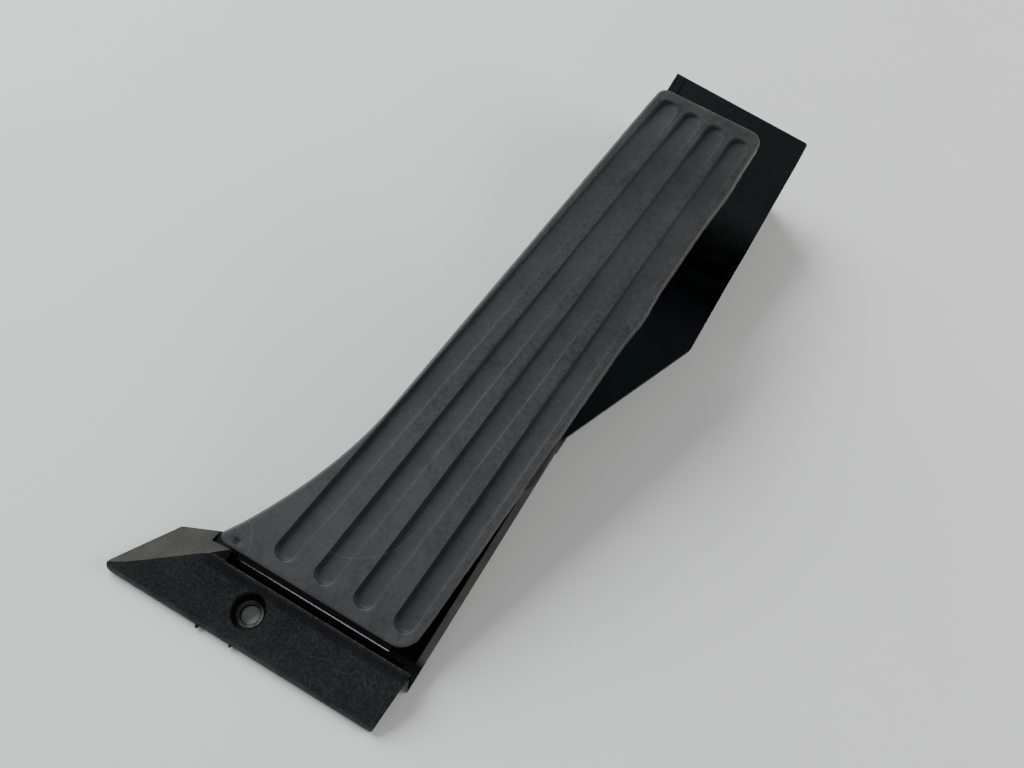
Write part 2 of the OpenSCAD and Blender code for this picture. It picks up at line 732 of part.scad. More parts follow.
module connector_socket() {
    color([0.05, 0.05, 0.055])
    difference() {
        union() {
            translate([socket_x, box_end - socket_in, socket_z])
                cube([socket_w, socket_in + socket_out, socket_h]);
            translate([socket_x - 2, box_end + 0.1, socket_z - 1.7])
                cube([socket_w + 4, flange, socket_h + 3.4]);
        }
        translate([socket_x + 1.5, box_end - socket_in + 4.5, socket_z + 1.5])
            cube([socket_w - 3, socket_in + socket_out, socket_h - 3]);
        for (i = [0:5])
            translate([pin_x - 0.2, box_end - socket_in - 1, pin_z0 - 0.15 + pin_pitch * i])
                cube([pin_w + 0.4, 10, pin_h + 0.3]);
    }
}

module terminals() {
    color([0.75, 0.62, 0.3])
    for (i = [0:5])
        translate([0, board_y1 - 5.5, pin_z0 + pin_pitch * i]) {
            translate([pin_x, 0, 0])
                cube([pin_w, box_end - board_y1 + 4, pin_h]);
            translate([board_x1, 0, 0])
                cube([pin_w, 3, pin_h]);
        }
}

base_housing();
side_cover();
cover_screws();
heel_sleeve();
tread_pad();
pedal_plate();
slide_track();
hinge_strip();
drive_lever();
lever_shaft();
shaft_bushes();
tip_roller();
roller_pin();
outer_spring();
inner_spring();
friction_shoe();
rest_buffer();
stop_buffer();
magnet_holder();
sensor_magnet();
sensor_board();
sensor_chips();
connector_socket();
terminals();
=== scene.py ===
import bisect
import math

import bmesh
import bpy
from mathutils import Matrix, Vector


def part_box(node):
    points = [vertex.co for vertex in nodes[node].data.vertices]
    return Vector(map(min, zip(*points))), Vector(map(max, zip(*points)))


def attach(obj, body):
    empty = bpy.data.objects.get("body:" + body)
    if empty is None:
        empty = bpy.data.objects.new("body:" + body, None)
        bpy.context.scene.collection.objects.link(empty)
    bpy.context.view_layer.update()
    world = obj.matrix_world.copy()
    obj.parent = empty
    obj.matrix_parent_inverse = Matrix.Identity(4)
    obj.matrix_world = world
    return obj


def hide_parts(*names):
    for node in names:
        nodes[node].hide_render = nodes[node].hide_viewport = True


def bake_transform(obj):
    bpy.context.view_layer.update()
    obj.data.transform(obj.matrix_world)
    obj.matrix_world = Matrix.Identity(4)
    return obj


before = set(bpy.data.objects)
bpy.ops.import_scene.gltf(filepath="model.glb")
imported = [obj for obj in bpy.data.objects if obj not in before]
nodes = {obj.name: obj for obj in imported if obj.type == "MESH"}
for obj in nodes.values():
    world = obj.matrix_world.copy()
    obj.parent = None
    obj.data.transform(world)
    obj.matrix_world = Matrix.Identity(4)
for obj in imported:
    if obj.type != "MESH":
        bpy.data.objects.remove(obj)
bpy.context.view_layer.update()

# View and light
# The pedal lies on its mounting face on a pale table. The camera stands nearly over it, on the
# heel's side, as in the photograph. A large soft window is on the left, a weaker one behind on
# the right, and the room overhead is dark, so that the black plastic stays black.
camera = bpy.data.objects.new("camera", bpy.data.cameras.new("camera"))
bpy.context.scene.collection.objects.link(camera)
camera.data.lens = 27.22
camera.data.sensor_width = 36.0
# its place and turn, fitted to the outline of the part
camera.matrix_world = Matrix((
    (0.8636, -0.5004, 0.0611, 0.0528),
    (0.4679, 0.7505, -0.4667, -0.0220),
    (0.1877, 0.4316, 0.8823, 0.2803),
    (0.0, 0.0, 0.0, 1.0)))
camera.data.clip_start = 0.01
bpy.context.scene.camera = camera

world = bpy.data.worlds.new("room")
bpy.context.scene.world = world
world.use_nodes = True
room = world.node_tree.nodes["Background"]
room.inputs["Color"].default_value = (0.93, 0.97, 1.0, 1.0)
room.inputs["Strength"].default_value = 0.26


def soft_light(name, place, width, height, watts, colour):
    lamp = bpy.data.lights.new(name, "AREA")
    lamp.shape = "RECTANGLE"
    lamp.size = width
    lamp.size_y = height
    lamp.energy = watts
    lamp.color = colour
    obj = bpy.data.objects.new(name, lamp)
    bpy.context.scene.collection.objects.link(obj)
    obj.location = place
    middle = Vector((0.02, 0.14, 0.02))
    obj.rotation_euler = (middle - Vector(place)).to_track_quat("-Z", "Y").to_euler()


soft_light("window", (-1.15, 0.50, 1.0), 1.3, 1.0, 39.0, (0.96, 0.985, 1.0))
soft_light("back_window", (1.2, 0.7, 0.6), 0.9, 0.6, 12.0, (1.0, 0.985, 0.95))
soft_light("front_fill", (-0.05, -1.15, 0.6), 1.1, 0.3, 1.4, (0.95, 0.98, 1.0))

# Table
# A plain pale sheet, off white, with only a hint of unevenness and a few dark specks on it.
def node_in(tree, kind, values=None, **settings):
    node = tree.nodes.new(kind)
    for key, value in settings.items():
        setattr(node, key, value)
    for key, value in (values or {}).items():
        node.inputs[key].default_value = value
    return node


def ramped(tree, value, low, high, bottom=0.0, top=1.0):
    # value between low and high becomes bottom to top, and stays within them
    node = node_in(tree, "ShaderNodeMapRange", {"From Min": low, "From Max": high,
                                                "To Min": bottom, "To Max": top})
    tree.links.new(value, node.inputs["Value"])
    return node.outputs[0]


def tinted(tree, mask, base, colour):
    node = node_in(tree, "ShaderNodeMix", {"B": (*colour, 1.0)}, data_type="RGBA")
    tree.links.new(mask, node.inputs["Factor"])
    tree.links.new(base, node.inputs["A"])
    return node.outputs["Result"]


def noise(tree, where, values):
    node = node_in(tree, "ShaderNodeTexNoise", values)
    tree.links.new(where, node.inputs["Vector"])
    return node.outputs["Fac"]


table_mesh = bpy.data.meshes.new("table")
table = bpy.data.objects.new("table", table_mesh)
bpy.context.scene.collection.objects.link(table)
bm = bmesh.new()
bmesh.ops.create_grid(bm, x_segments=1, y_segments=1, size=3.0)
bm.to_mesh(table_mesh)
bm.free()
table_finish = bpy.data.materials.new("table_finish")
table_finish.use_nodes = True
tree = table_finish.node_tree
sheet = tree.nodes["Principled BSDF"]
sheet.inputs["Roughness"].default_value = 0.75
sheet.inputs["Specular IOR Level"].default_value = 0.3
where = node_in(tree, "ShaderNodeTexCoord").outputs["Object"]
shade = node_in(tree, "ShaderNodeValToRGB")
shade.color_ramp.elements[0].color = (0.74, 0.745, 0.73, 1.0)
shade.color_ramp.elements[1].color = (0.82, 0.825, 0.81, 1.0)
tree.links.new(noise(tree, where, {"Scale": 6.0, "Detail": 8.0}), shade.inputs["Fac"])
# one speck lies in each wide cell
cells = node_in(tree, "ShaderNodeTexVoronoi", {"Scale": 22.0})
tree.links.new(where, cells.inputs["Vector"])
speck = ramped(tree, cells.outputs["Distance"], 0.010, 0.022, 0.55, 0.0)
speckled = tinted(tree, speck, shade.outputs["Color"], (0.22, 0.21, 0.20))
tree.links.new(speckled, sheet.inputs["Base Color"])
table_mesh.materials.append(table_finish)


# Base housing
# One injection moulding in black glass-filled plastic: heel wedge, trough, arm, wing and sensor
# box. The fine texture of the tool shows on the box, and shoes have dulled and scratched the heel.
mm = 0.001


def new_group(name, inputs, outputs):
    group = bpy.data.node_groups.new(name, "ShaderNodeTree")
    for label, kind, value in inputs:
        socket = group.interface.new_socket(label, in_out="INPUT", socket_type=kind)
        socket.default_value = value
    for label, kind in outputs:
        group.interface.new_socket(label, in_out="OUTPUT", socket_type=kind)
    group.nodes.new("NodeGroupInput")
    group.nodes.new("NodeGroupOutput")
    return group, group.nodes["Group Input"], group.nodes["Group Output"]


def maths(tree, operation, first, second, clamp=False):
    node = node_in(tree, "ShaderNodeMath", operation=operation, use_clamp=clamp)
    for socket, value in ((node.inputs[0], first), (node.inputs[1], second)):
        if isinstance(value, (int, float)):
            socket.default_value = value
        else:
            tree.links.new(value, socket)
    return node.outputs[0]


def times(tree, first, second, clamp=False):
    return maths(tree, "MULTIPLY", first, second, clamp)


def apart(tree, first, second):
    return maths(tree, "ABSOLUTE", maths(tree, "SUBTRACT", first, second), 0.0)


def parts(tree, vector):
    split = node_in(tree, "ShaderNodeSeparateXYZ")
    tree.links.new(vector, split.inputs["Vector"])
    return split.outputs


# Tool grain: two sizes of noise, as a height between 0 and 1.
grain_group, gin, gout = new_group(
    "moulded_grain",
    [("Vector", "NodeSocketVector", (0, 0, 0)), ("Scale", "NodeSocketFloat", 900.0)],
    [("Height", "NodeSocketFloat")])
fine = node_in(grain_group, "ShaderNodeTexNoise", {"Detail": 4.0, "Roughness": 0.6})
cells = node_in(grain_group, "ShaderNodeTexVoronoi", feature="SMOOTH_F1")
for texture in (fine, cells):
    grain_group.links.new(gin.outputs["Vector"], texture.inputs["Vector"])
    grain_group.links.new(gin.outputs["Scale"], texture.inputs["Scale"])
height = times(grain_group, cells.outputs["Distance"], 0.5)
height = maths(grain_group, "ADD", height, fine.outputs["Fac"])
grain_group.links.new(height, gout.inputs["Height"])

# Scratches: short straight hairlines in five directions, bent a little, thicker in some places.
scratch_group, gin, gout = new_group(
    "scratches",
    [("Vector", "NodeSocketVector", (0, 0, 0)), ("Amount", "NodeSocketFloat", 0.5)],
    [("Mask", "NodeSocketFloat")])
link = scratch_group.links.new
bend = node_in(scratch_group, "ShaderNodeTexNoise", {"Scale": 22.0, "Detail": 1.0})
link(gin.outputs["Vector"], bend.inputs["Vector"])
pull = node_in(scratch_group, "ShaderNodeVectorMath", {3: 0.006}, operation="SCALE")
link(bend.outputs["Color"], pull.inputs[0])
bent = node_in(scratch_group, "ShaderNodeVectorMath", operation="ADD")
link(gin.outputs["Vector"], bent.inputs[0])
link(pull.outputs["Vector"], bent.inputs[1])
strokes = None
for turn, length, least in ((0.35, 70.0, 0.66), (-0.75, 105.0, 0.67), (1.2, 85.0, 0.66),
                            (2.3, 120.0, 0.67), (1.75, 95.0, 0.68)):
    place = node_in(scratch_group, "ShaderNodeMapping", {"Rotation": (0.0, 0.0, turn), "Scale": (
        1 / length, 1 / 2700.0, 1 / 60.0)}, vector_type="TEXTURE")
    streak = node_in(scratch_group, "ShaderNodeTexNoise", {"Scale": 1.0, "Detail": 1.0})
    link(bent.outputs["Vector"], place.inputs["Vector"])
    link(place.outputs["Vector"], streak.inputs["Vector"])
    stroke = ramped(scratch_group, streak.outputs["Fac"], least, least + 0.07)
    strokes = stroke if strokes is None else maths(scratch_group, "MAXIMUM", strokes, stroke)
patch = node_in(scratch_group, "ShaderNodeTexNoise", {"Scale": 45.0, "Detail": 2.0})
link(gin.outputs["Vector"], patch.inputs["Vector"])
strokes = times(scratch_group, strokes, ramped(scratch_group, patch.outputs["Fac"], 0.40, 0.62))
link(times(scratch_group, strokes, gin.outputs["Amount"], True), gout.inputs["Mask"])

# Dust: settles on faces that look up, in soft patches with finer speckles.
dust_group, gin, gout = new_group(
    "settled_dust",
    [("Vector", "NodeSocketVector", (0, 0, 0)), ("Scale", "NodeSocketFloat", 40.0),
     ("Amount", "NodeSocketFloat", 0.3)],
    [("Mask", "NodeSocketFloat")])
link = dust_group.links.new
cloud = node_in(dust_group, "ShaderNodeTexNoise", {"Detail": 7.0, "Roughness": 0.7})
link(gin.outputs["Vector"], cloud.inputs["Vector"])
link(gin.outputs["Scale"], cloud.inputs["Scale"])
surface = node_in(dust_group, "ShaderNodeNewGeometry")
upward = parts(dust_group, surface.outputs["Normal"])["Z"]
lies = times(dust_group, ramped(dust_group, cloud.outputs["Fac"], 0.36, 0.70),
             ramped(dust_group, upward, 0.1, 0.9))
link(times(dust_group, lies, gin.outputs["Amount"], True), gout.inputs["Mask"])


def grouped(tree, group, where, **values):
    node = node_in(tree, "ShaderNodeGroup", node_tree=group)
    for key, value in values.items():
        node.inputs[key].default_value = value
    tree.links.new(where, node.inputs["Vector"])
    return node.outputs[0]


# Moulded plastic: mottled and speckled colour, then marks of its own from extra, scratches and
# dust over them, and the tool's grain as bump. matt gives a mask that takes some of the shine off.
def moulded_plastic(name, colour, rough, shine=0.3, grain=900.0, bump=0.05, scuffs=0.3,
                    scuff_colour=(0.10, 0.10, 0.097), dust=0.15, dust_colour=(0.09, 0.085, 0.075),
                    dust_scale=40.0, patchy=0.2, extra=None, matt=None):
    finish = bpy.data.materials.new(name)
    finish.use_nodes = True
    tree = finish.node_tree
    skin = tree.nodes["Principled BSDF"]
    skin.inputs["Specular IOR Level"].default_value = shine
    where = node_in(tree, "ShaderNodeTexCoord").outputs["Object"]
    if matt:
        gloss = times(tree, matt(tree, where), shine)
        tree.links.new(gloss, skin.inputs["Specular IOR Level"])
    tone = noise(tree, where, {"Scale": 18.0, "Detail": 5.0})
    ramp = node_in(tree, "ShaderNodeValToRGB")
    for stop, place, gain in zip(ramp.color_ramp.elements, (0.3, 0.7), (1 - patchy, 1 + patchy)):
        stop.position = place
        stop.color = tuple(c * gain for c in colour) + (1.0,)
    speckle = noise(tree, where, {"Scale": 1600.0, "Detail": 2.0})
    grainy = maths(tree, "ADD", times(tree, speckle, 0.8), -0.4)
    tree.links.new(maths(tree, "ADD", tone, grainy, True), ramp.inputs["Fac"])
    shade = ramp.outputs["Color"]
    if extra:
        shade = extra(tree, where, shade)
    scratch = grouped(tree, scratch_group, where, Amount=scuffs)
    powder = grouped(tree, dust_group, where, Scale=dust_scale, Amount=dust)
    shade = tinted(tree, scratch, shade, scuff_colour)
    shade = tinted(tree, powder, shade, dust_colour)
    tree.links.new(shade, skin.inputs["Base Color"])
    dull = ramped(tree, powder, 0.0, 1.0, rough - 0.06, min(1.0, rough + 0.3))
    dull = maths(tree, "ADD", dull, ramped(tree, tone, 0.2, 0.8, 0.0, 0.12))
    tree.links.new(dull, skin.inputs["Roughness"])
    depth = maths(tree, "SUBTRACT", grouped(tree, grain_group, where, Scale=grain),
                  times(tree, scratch, 1.2))
    relief = node_in(tree, "ShaderNodeBump", {"Strength": bump, "Distance": 0.0004})
    tree.links.new(depth, relief.inputs["Height"])
    tree.links.new(relief.outputs["Normal"], skin.inputs["Normal"])
    return finish


def band(tree, where, axis, centre, half, soft):
    # 1 within half of centre along one axis, 0 beyond it by soft
    away = apart(tree, parts(tree, where)[axis], centre)
    return ramped(tree, away, half, half + soft, 1.0, 0.0)


def facing(tree, way, low, high):
    # 1 where the surface looks the given way, 0 where it looks elsewhere
    normal = node_in(tree, "ShaderNodeNewGeometry").outputs["Normal"]
    dot = node_in(tree, "ShaderNodeVectorMath", {1: way}, operation="DOT_PRODUCT")
    tree.links.new(normal, dot.inputs[0])
    return ramped(tree, dot.outputs["Value"], low, high)


seam_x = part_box("side_cover")[1][0]
box_front_y = 0.203


def shoulder_matt(tree, where):
    # the rounded step at the front of the box is scuffed dull, so it stays the darkest part
    step = band(tree, where, "Y", box_front_y, 0.014, 0.018)
    return maths(tree, "SUBTRACT", 1.0, times(tree, step, 0.85))


def housing_marks_and_painted_light(tree, where, shade):
    # the wing is bluish, the step at the front of the box nearly black and the box's far end paler
    # painted reflection: a bluish tint on the wing stands for sky light reflected in it
    painted_sky_reflection = band(tree, where, "Y", 0.155, 0.040, 0.012)
    shade = tinted(tree, times(tree, painted_sky_reflection, 0.8), shade, (0.0014, 0.0060, 0.0080))
    # painted shade: the rounded step at the front of the box is painted nearly black
    step = band(tree, where, "Y", box_front_y, 0.012, 0.020)
    shade = tinted(tree, times(tree, step, 0.9), shade, (0.0006, 0.0007, 0.0007))
    far = times(tree, band(tree, where, "Y", 0.300, 0.018, 0.045), 0.6)
    shade = tinted(tree, far, shade, (0.0066, 0.0074, 0.0077))
    # the joint between the box and its lid is a fine dark line
    seam = times(tree, band(tree, where, "X", seam_x, 0.25 * mm, 0.3 * mm),
                 band(tree, where, "Y", 0.250, 0.050, 0.002))
    shade = tinted(tree, seam, shade, (0.0002, 0.0002, 0.0002))
    # shoes have scoured the heel grey and gritty, with hairlines and a pale rim that is partly painted
    # light
    scoured = grouped(tree, scratch_group, where, Amount=1.0)
    rubbed = noise(tree, where, {"Scale": 95.0, "Detail": 6.0, "Roughness": 0.7})
    heel = band(tree, where, "Y", -0.004, 0.0105, 0.003)
    grey = times(tree, heel, ramped(tree, rubbed, 0.3, 0.72, 0.2, 0.85))
    shade = tinted(tree, grey, shade, (0.0205, 0.0213, 0.0228))
    grit = noise(tree, where, {"Scale": 1000.0, "Detail": 4.0, "Roughness": 0.85})
    pale_grit = times(tree, heel, ramped(tree, grit, 0.46, 0.68, 0.0, 0.55))
    shade = tinted(tree, pale_grit, shade, (0.045, 0.046, 0.047))
    dark_grit = times(tree, heel, ramped(tree, grit, 0.48, 0.34, 0.0, 0.6))
    shade = tinted(tree, dark_grit, shade, (0.0035, 0.0036, 0.0038))
    # the pale front rim is partly wear and partly a painted highlight of light bounced up from the table
    rim = times(tree, band(tree, where, "Y", -0.0104, 0.0002, 0.0006),
                ramped(tree, rubbed, 0.35, 0.6, 0.1, 0.8))
    shade = tinted(tree, rim, shade, (0.055, 0.055, 0.053))
    hairs = times(tree, heel, times(tree, scoured, 0.38))
    shade = tinted(tree, hairs, shade, (0.055, 0.055, 0.053))
    # dust lies on the facet at the heel's left
    dust = times(tree, facing(tree, (-0.461, 0.332, 0.823), 0.975, 0.99),
                 ramped(tree, rubbed, 0.30, 0.65, 0.35, 0.9))
    shade = tinted(tree, dust, shade, (0.052, 0.051, 0.042))
    # the slot has a frayed pale lip, and below it a band darkened as painted shade
    slot = band(tree, where, "X", 0.018, 0.038, 0.003)
    ragged = noise(tree, where, {"Scale": 700.0, "Detail": 4.0})
    lip = times(tree, band(tree, where, "Y", 0.0089, 0.0001, 0.0004),
                ramped(tree, ragged, 0.40, 0.62, 0.08, 0.7))
    shade = tinted(tree, times(tree, lip, slot), shade, (0.060, 0.057, 0.048))
    # painted shade: the band below the lip is painted darker
    below = times(tree, band(tree, where, "Y", 0.0066, 0.0008, 0.0010), times(tree, slot, 0.6))
    shade = tinted(tree, below, shade, (0.003, 0.003, 0.003))
    # the top of the right-hand wall, which leans out a little, is a patchy paler grey
    place = parts(tree, where)
    lean = maths(tree, "SUBTRACT", place["X"], times(tree, place["Y"], 0.0396))
    sill = times(tree, facing(tree, (0.0, -0.13, 0.99), 0.90, 0.97),
                 times(tree, ramped(tree, lean, 0.0553, 0.0556),
                       band(tree, where, "Y", 0.060, 0.044, 0.003)))
    sill = times(tree, sill, ramped(tree, rubbed, 0.3, 0.6, 0.55, 0.95))
    shade = tinted(tree, sill, shade, (0.15, 0.148, 0.134))
    # painted highlight: the heel's right end face, which catches the light, is painted paler
    painted_end_light = times(tree, facing(tree, (1.0, 0.0, 0.0), 0.25, 0.6),
                   band(tree, where, "Y", -0.001, 0.009, 0.002))
    painted_end_light = times(tree, painted_end_light, ramped(tree, rubbed, 0.3, 0.6, 0.3, 0.9))
    return tinted(tree, painted_end_light, shade, (0.035, 0.034, 0.030))


black_moulding = moulded_plastic("black_moulding", (0.0038, 0.0045, 0.0048), 0.42, shine=0.13,
                                 grain=1300.0, bump=0.12, scuffs=0.10, dust=0.05, patchy=0.45,
                                 dust_colour=(0.03, 0.029, 0.027), extra=housing_marks_and_painted_light,
                                 matt=shoulder_matt)


def finish_node(name, finish):
    piece = nodes[name]
    piece.data.materials.clear()
    piece.data.materials.append(finish)


def dressed(name, body, finish, bevel, rounded=None, radius=0.0):
    # a merged copy of the node with its sharp corners broken, as the real moulding has, and a
    # larger radius on the edges that rounded(middle of the edge, its direction) picks
    mesh = nodes[name].data.copy()
    mesh.name = name + "_moulding"
    piece = bpy.data.objects.new(name + "_moulding", mesh)
    bpy.context.scene.collection.objects.link(piece)
    bm = bmesh.new()
    bm.from_mesh(mesh)
    bmesh.ops.remove_doubles(bm, verts=bm.verts, dist=2e-6)
    bmesh.ops.dissolve_limit(bm, angle_limit=math.radians(0.6), use_dissolve_boundaries=False,
                             verts=bm.verts, edges=bm.edges, delimit={"NORMAL"})
    for face in bm.faces:
        face.smooth = True
    if rounded:
        chosen = [e for e in bm.edges
                  if rounded((e.verts[0].co + e.verts[1].co) / 2,
                             (e.verts[1].co - e.verts[0].co).normalized())]
        bmesh.ops.bevel(bm, geom=chosen, offset=radius, offset_type="OFFSET", segments=5,
                        profile=0.5, affect="EDGES", clamp_overlap=False, material=-1)
    sharp = [e for e in bm.edges if len(e.link_faces) == 2
             and e.calc_face_angle(0.0) > math.radians(40) and e.calc_length() > 2.5 * bevel]
    bmesh.ops.bevel(bm, geom=sharp, offset=bevel, offset_type="OFFSET", segments=2,
                    profile=0.5, affect="EDGES", clamp_overlap=True, material=-1)
    for edge in bm.edges:
        crisp = len(edge.link_faces) == 2 and edge.calc_face_angle(0.0) > math.radians(32)
        edge.smooth = not crisp
    bm.to_mesh(mesh)
    bm.free()
    mesh.materials.clear()
    mesh.materials.append(finish)
    piece.modifiers.new("even_faces", "WEIGHTED_NORMAL").keep_sharp = True
    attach(piece, body)
    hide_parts(name)


housing_low, housing_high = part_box("base_housing")


def box_corner(middle, way):
    # the upright right-hand corner edge at the far end of the box, and its short round at the top
    return (abs(way.x) < 0.1 and middle.y > housing_high[1] - 2.3 * mm
            and middle.x > housing_high[0] - 0.3 * mm)


dressed("base_housing", "housing", black_moulding, 0.3 * mm, rounded=box_corner, radius=1.4 * mm)


def gate_nubs():
    # two broken-off gate stubs on the heel's front edge
    mesh = bpy.data.meshes.new("gate_nubs")
    bm = bmesh.new()
    stubs = ((-12.5, 0.75), (0.3, 0.55))
    height, stretch, sunk = 1.6, 1.3, 0.1
    for x, size in stubs:
        made = bmesh.ops.create_icosphere(bm, subdivisions=2, radius=size * mm)["verts"]
        for vert in made:
            vert.co = Vector((x * mm + vert.co.x,
                              housing_low[1] + vert.co.y * stretch - sunk * mm,
                              height * mm + vert.co.z))
    for face in bm.faces:
        face.smooth = True
    bm.to_mesh(mesh)
    bm.free()
    nubs = bpy.data.objects.new("gate_nubs", mesh)
    bpy.context.scene.collection.objects.link(nubs)
    mesh.materials.append(black_moulding)
    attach(nubs, "housing")


gate_nubs()

# Side cover
# The box's left wall is a lid of its own, held by four small zinc screws.
dressed("side_cover", "housing", black_moulding, 0.35 * mm)


def bare_metal(name, colour, rough, brushed=0.1, stain=0.3, stain_colour=(0.05, 0.045, 0.04)):
    finish = bpy.data.materials.new(name)
    finish.use_nodes = True
    tree = finish.node_tree
    skin = tree.nodes["Principled BSDF"]
    skin.inputs["Metallic"].default_value = 1.0
    where = node_in(tree, "ShaderNodeTexCoord").outputs["Object"]
    cloud = noise(tree, where, {"Scale": 260.0, "Detail": 6.0, "Roughness": 0.65})
    base = node_in(tree, "ShaderNodeRGB").outputs[0]
    base.default_value = (*colour, 1.0)
    worn = ramped(tree, cloud, 0.45, 0.75, 0.0, stain)
    tree.links.new(tinted(tree, worn, base, stain_colour), skin.inputs["Base Color"])
    tree.links.new(ramped(tree, cloud, 0.3, 0.75, rough - 0.05, rough + 0.2),
                   skin.inputs["Roughness"])
    lines = grouped(tree, scratch_group, where, Amount=1.0)
    relief = node_in(tree, "ShaderNodeBump", {"Strength": brushed, "Distance": 0.0002})
    tree.links.new(maths(tree, "SUBTRACT", cloud, lines), relief.inputs["Height"])
    tree.links.new(relief.outputs["Normal"], skin.inputs["Normal"])
    return finish


finish_node("cover_screws", bare_metal("zinc_screws", (0.52, 0.52, 0.54), 0.35))

# Heel sleeve
# A turned steel sleeve lines the screw hole. The turning marks show as fine rings, under grime.
sleeve_low, sleeve_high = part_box("heel_sleeve")
sleeve_r = (sleeve_high[0] - sleeve_low[0]) / 2
bore_r = 3.3 * mm
sleeve_top = sleeve_high[2]
ring_step = 0.3 * mm


def lathed(name, profile, around, finish, body, node):
    # a closed line of (radius, height) points, spun about the Z axis through the origin
    mesh = bpy.data.meshes.new(name)
    piece = bpy.data.objects.new(name, mesh)
    bpy.context.scene.collection.objects.link(piece)
    bm = bmesh.new()
    line = [bm.verts.new((r, 0.0, z)) for r, z in profile]
    line += [bm.edges.new(pair) for pair in zip(line, line[1:] + line[:1])]
    bmesh.ops.spin(bm, geom=line, cent=(0, 0, 0), axis=(0, 0, 1), angle=math.tau, steps=around,
                   use_merge=True)
    bmesh.ops.recalc_face_normals(bm, faces=bm.faces)
    for face in bm.faces:
        face.smooth = True
    bm.to_mesh(mesh)
    bm.free()
    mesh.materials.append(finish)
    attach(piece, body)
    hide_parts(node)
    return piece


rings = []
for k in range(4):
    z = sleeve_top - k * ring_step * 0.5
    r = sleeve_r - (k + 0.4) * ring_step
    rings += [(r, z), (r - 0.10 * mm, z - 0.26 * mm), (r - 0.20 * mm, z - 0.26 * mm)]
for k in range(5):
    z = sleeve_top - (0.75 + 0.5 * k) * mm
    rings += [(bore_r, z), (bore_r - 0.18 * mm, z - 0.25 * mm)]
grimy_steel = bare_metal("grimy_steel", (0.13, 0.127, 0.118), 0.45, brushed=0.3, stain=0.75,
                         stain_colour=(0.012, 0.010, 0.008))
sleeve_profile = ([(sleeve_r, 0.0), (sleeve_r, sleeve_top - 0.1 * mm)] + rings
                  + [(bore_r, 0.05 * mm), (bore_r + 0.1 * mm, 0.0)])
sleeve = lathed("turned_sleeve", sleeve_profile, 96, grimy_steel, "housing", "heel_sleeve")
# below its first rings the bore is near black, as old dirt and as painted shade deep in the hole
sleeve.data.materials.append(moulded_plastic("bore_dirt_and_shade", (0.012, 0.011, 0.010), 0.6, shine=0.1,
                                             scuffs=0.0, dust=0.1))
clean_depth = 1.0 * mm
for face in sleeve.data.polygons:
    if face.center.z < sleeve_top - clean_depth:
        face.material_index = 1

# Tread pad
# A soft charcoal cover with four long grooves, moulded over the stiff plate. It is drawn in its
# own plane, s along the pad and w out of it, with a broad worn edge all round, coloured paler as
# wear and painted highlight, a slightly wavy right skirt and a small pit at its lower left corner.
pad_y, pad_z, rest_tilt = 12.2, 14.0, math.radians(19.0)
pad_len, s_top = 222.0, 220.2
skirt_h, skirt_w, tread_t = 5.5, 1.6, 2.6
edge_w, edge_drop = 1.3, 1.5
groove_half, groove_deep, groove_s0, groove_s1 = 3.9, 1.7, 9.9, 212.5
# x of the first groove at the pad's lower and upper end, and the step from groove to groove
first_low, first_high, step_low, step_high = -1.3, 35.7, 15.58, 9.52
pit_x, pit_s, pit_y = -15.6, 3.9, 15.8


def edge_left(s):
    return -5.6 + 0.1536 * s - 17.6 * max(0.0, 1 - s / 68.0) ** 1.9


def edge_right(s):
    wave = 0.9 * math.exp(-((s - 140) / 8) ** 2) + 0.7 * math.exp(-((s - 197) / 9) ** 2)
    return 52.0 + 0.0945 * s - 0.00005 * s * s + wave


def groove_x(i, s):
    share = s / pad_len
    return (first_low + step_low * i) * (1 - share) + (first_high + step_high * i) * share


def on_pad(x, s, w):
    return Vector((x, pad_y + s * math.cos(rest_tilt) - w * math.sin(rest_tilt),
                   pad_z + s * math.sin(rest_tilt) + w * math.cos(rest_tilt))) * mm


def arc_corner(a, b, c, r, n=12):
    u, v = (a - b).normalized(), (c - b).normalized()
    half = u.angle(v) / 2
    centre = b + (u + v).normalized() * (r / math.sin(half))
    p, q = b + u * (r / math.tan(half)) - centre, b + v * (r / math.tan(half)) - centre
    turn = p.angle_signed(q)
    return [centre + Matrix.Rotation(-turn * k / n, 2) @ p for k in range(n + 1)]


def walker(points):
    # the point at a share of the way along a line of points
    walk = [0.0]
    for a, b in zip(points, points[1:]):
        walk.append(walk[-1] + (b - a).length)

    def at(share):
        d = walk[-1] * share
        k = min(max(bisect.bisect_left(walk, d) - 1, 0), len(points) - 2)
        return points[k].lerp(points[k + 1], (d - walk[k]) / (walk[k + 1] - walk[k]))
    return at


def edge_loop(d):
    # the four sides of the tread's outline, d inside it, each from corner to corner
    low, high = 60, 200
    right = [Vector((edge_right(s) - d, s)) for s in (10 + 200 * k / high for k in range(high + 1))]
    left = [Vector((edge_left(s) + d, s)) for s in (6 + 208 * k / low for k in range(low + 1))]
    corners = {
        "br": (Vector((-10, 1 + d)), Vector((edge_right(1) - d, 1 + d)), right[0], 7 - d),
        "tr": (right[-1], Vector((edge_right(s_top) - d, s_top + 1.9 - d)),
               Vector((edge_left(s_top) + d, s_top - d)), 4.5 - d),
        "tl": (Vector((edge_right(s_top) - d, s_top + 1.9 - d)),
               Vector((edge_left(s_top) + d, s_top - d)), left[-1], 4 - d),
        "bl": (left[0], Vector((edge_left(3.5) - 1.5 + d, 1 + d)), Vector((40, 1 + d)), 2.2 - 0.8 * d)}
    arc = {name: arc_corner(*four) for name, four in corners.items()}
    bottom = arc["bl"][6:] + arc["br"][:7]
    side_r = arc["br"][6:] + right[1:-1] + arc["tr"][:7]
    top = (arc["tr"][6:] + arc["tl"][:7])[::-1]
    side_l = (arc["tl"][6:] + left[::-1][1:-1] + arc["bl"][:7])[::-1]
    return [walker(p) for p in (bottom, side_r, top, side_l)]


def ramp(s, start, length):
    # 0 up to start, 1 from start plus length
    return min(max((s - start) / length, 0.0), 1.0)


